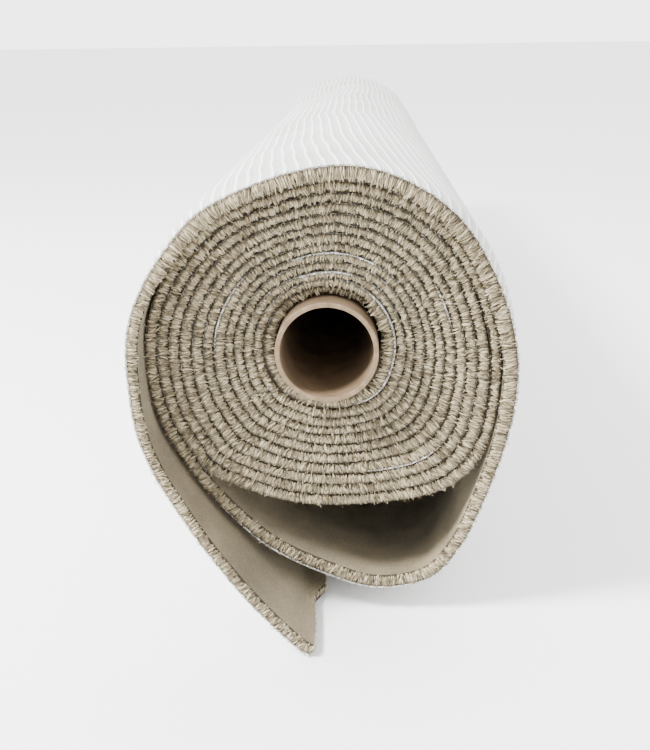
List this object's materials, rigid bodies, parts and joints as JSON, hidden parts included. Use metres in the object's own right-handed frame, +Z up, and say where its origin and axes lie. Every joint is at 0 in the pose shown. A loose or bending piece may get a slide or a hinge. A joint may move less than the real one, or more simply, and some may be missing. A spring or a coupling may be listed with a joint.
{
  "type": "rolled up carpet",
  "caption": "Cut-pile carpet with a woven back, rolled pile inwards on a cardboard tube, its last turn loose with a sagging belly and a flap on the floor.",
  "frame": {"origin": "middle of the bounding box's underside, on the floor", "axes": "+Y along the roll from its front end, where the tube stands out, to its rear end; +Z up; +X to the right as seen from the front"},
  "size_m": [0.3658, 2.09, 0.4518],
  "materials": {
    "carpet": "matt cut pile of greyed beige wool, with an off-white woven back",
    "cardboard": "matt brown paperboard"
  },
  "bodies": {
    "root": {"carpet": "carpet", "core_tube": "cardboard"}
  },
  "joints": []
}
